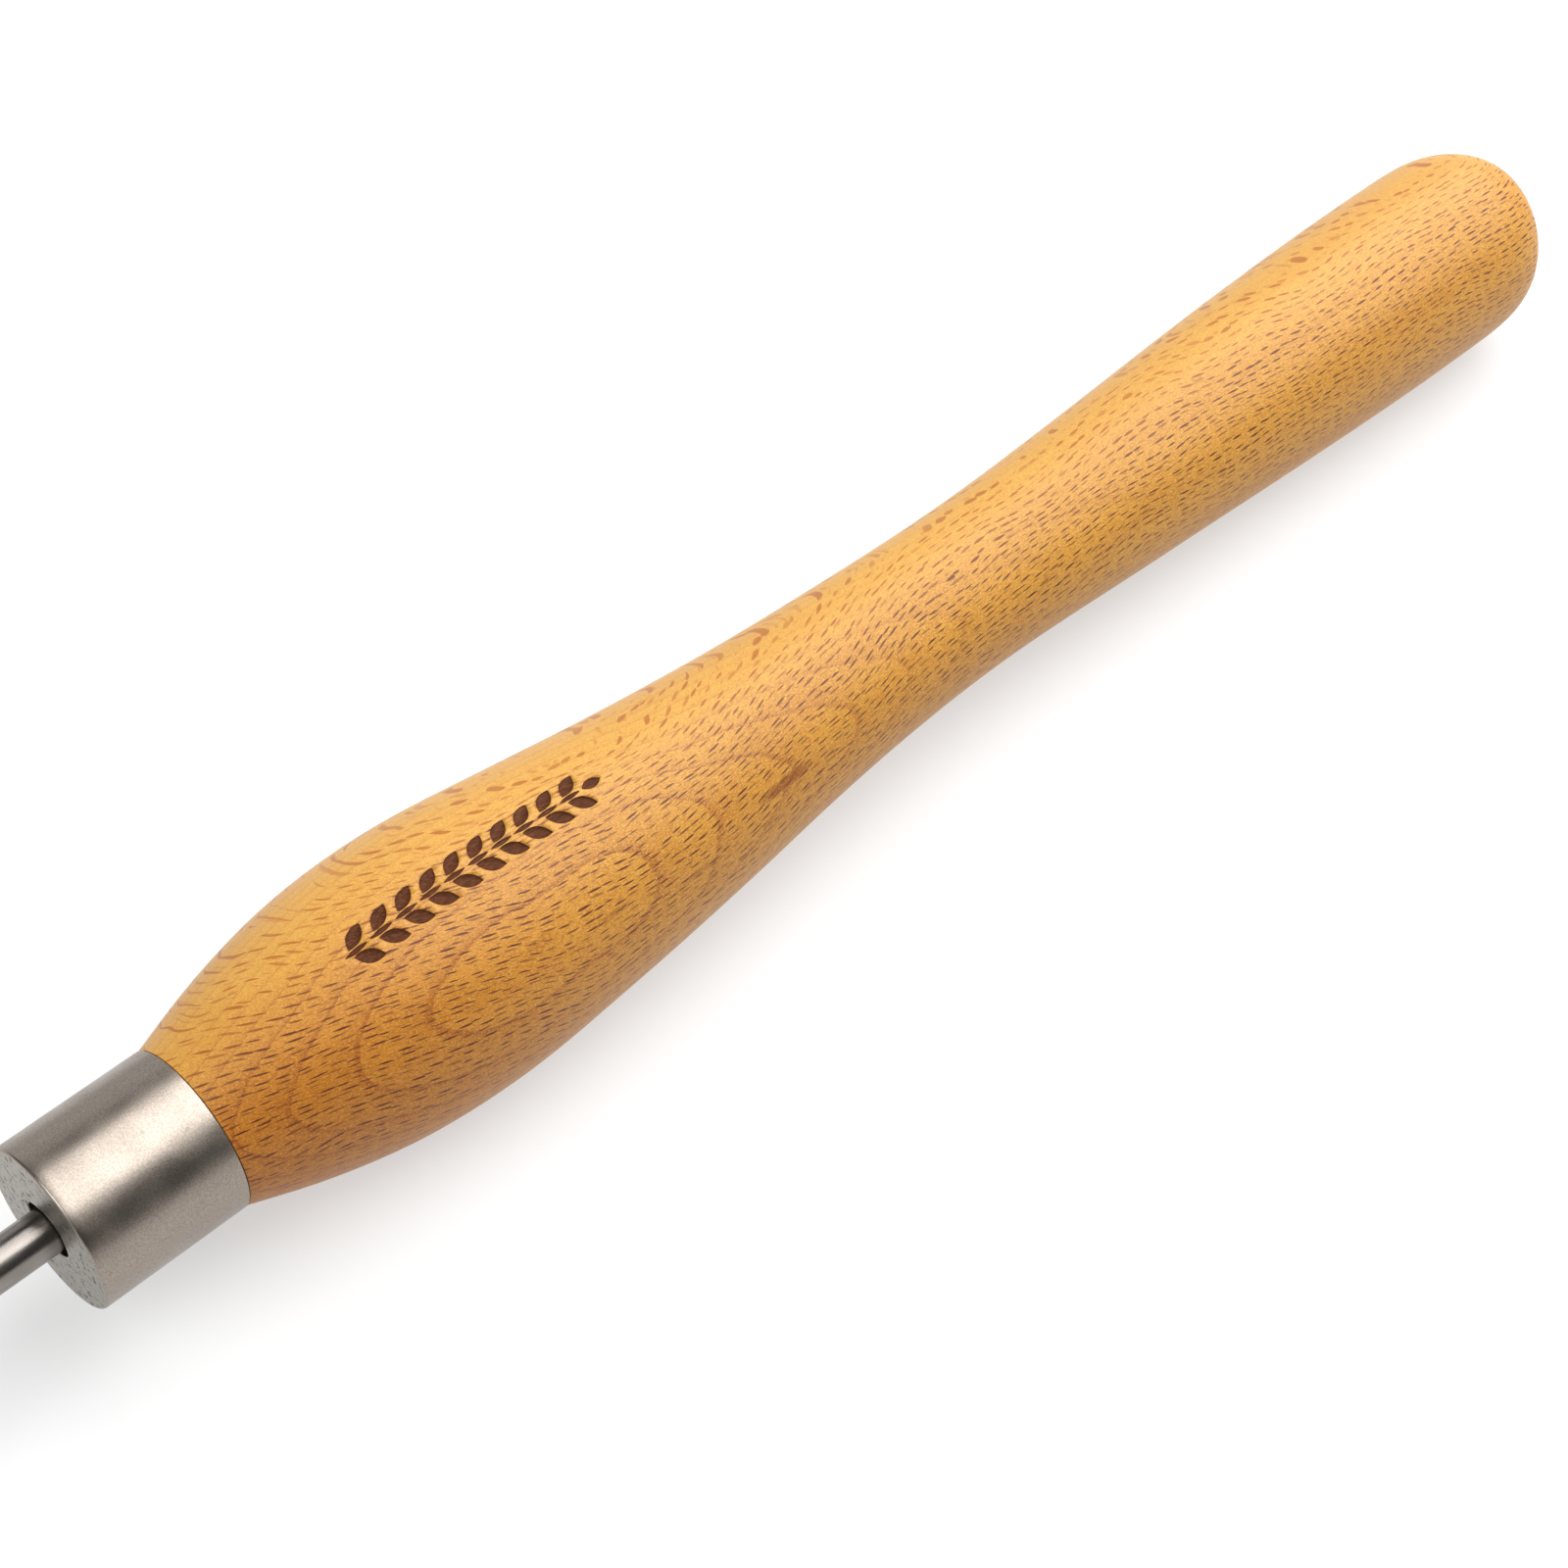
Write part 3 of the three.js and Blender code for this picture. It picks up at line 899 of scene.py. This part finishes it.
def flute_cutter(tip, bar_radius, ground):
    """The path of a round-edged wheel: straight from the tip, then climbing out of the bar."""
    floor_end = tip - FLUTE_LENGTH
    climb = math.sqrt(RUNOUT_RADIUS ** 2 - (RUNOUT_RADIUS - bar_radius - 2 * FLUTE_DROP) ** 2)
    stations = [(x, 0) for x in np.linspace(tip + FLUTE_PAST_TIP, floor_end, FLUTE_STEPS)]
    for distance in np.linspace(0, climb, RUNOUT_STEPS)[1:]:
        rise = RUNOUT_RADIUS - math.sqrt(RUNOUT_RADIUS ** 2 - distance ** 2)
        stations.append((floor_end - distance, rise))
    arc = [math.radians(angle) for angle in np.linspace(-90, 90, FLUTE_ARC_POINTS)]
    rings = []
    for x, rise in stations:
        middle = FLUTE_RADIUS - FLUTE_DROP + rise
        ring = [(x, FLUTE_RADIUS * math.sin(a), middle - FLUTE_RADIUS * math.cos(a)) for a in arc]
        ring += [(x, FLUTE_RADIUS, middle + bar_radius), (x, -FLUTE_RADIUS, middle + bar_radius)]
        rings.append([Vector(point) * MM for point in ring])
    made = loft(rings, closed=False)
    cap_ends(made)
    settle_normals(made)
    return object_from("flute_cutter", made, [ground])


def bevel_end(tip, y, z):
    """How far along the tool the bevel leaves the steel at a place across it."""
    ends = []
    for turn in np.linspace(-WING_TURN, WING_TURN, EDGE_POINTS):
        share = abs(turn) / WING_TURN
        bevel = NOSE_BEVEL + (WING_BEVEL - NOSE_BEVEL) * share
        outward = (math.sin(turn), -math.cos(turn))
        sweep = WING_SWEEP * (1 - math.cos(turn)) / (1 - math.cos(WING_TURN))
        edge = (outward[0] * FLUTE_RADIUS, outward[1] * FLUTE_RADIUS + FLUTE_RADIUS - FLUTE_DROP)
        past = (y - edge[0]) * outward[0] + (z - edge[1]) * outward[1]
        ends.append(tip - sweep - past / math.tan(bevel))
    return min(ends)


def bevel_cutter(tip, ground):
    """Everything ahead of the swept bevel, as rings about the flute's centre line."""
    middle = FLUTE_RADIUS - FLUTE_DROP
    rings = []
    for reach in (NEAR_AXIS, *np.linspace(*BEVEL_REACHES, BEVEL_RINGS)):
        ring = []
        for index in range(BEVEL_SIDES):
            y, z = around(2 * math.pi * index / BEVEL_SIDES, reach)
            ring.append(Vector((bevel_end(tip, y, z + middle), y, z + middle)) * MM)
        rings.append(ring)
    front = (tip + BEVEL_PAST_TIP) * MM
    rings.append([Vector((front, point.y, point.z)) for point in rings[-1]])
    made = loft(rings, closed=False)
    cap_ends(made)
    settle_normals(made)
    return object_from("bevel_cutter", made, [ground])


# ---------------------------------------------------------------- build

make_camera()
make_floor()
make_light()
make_handle(beech(), scorched_beech())
make_ferrule(turned_steel(), raw_steel())
make_blade(bar_steel(), ground_steel())
glue = frame["nodes"]["tang_adhesive"].data
glue.materials.clear()
glue.materials.append(epoxy())
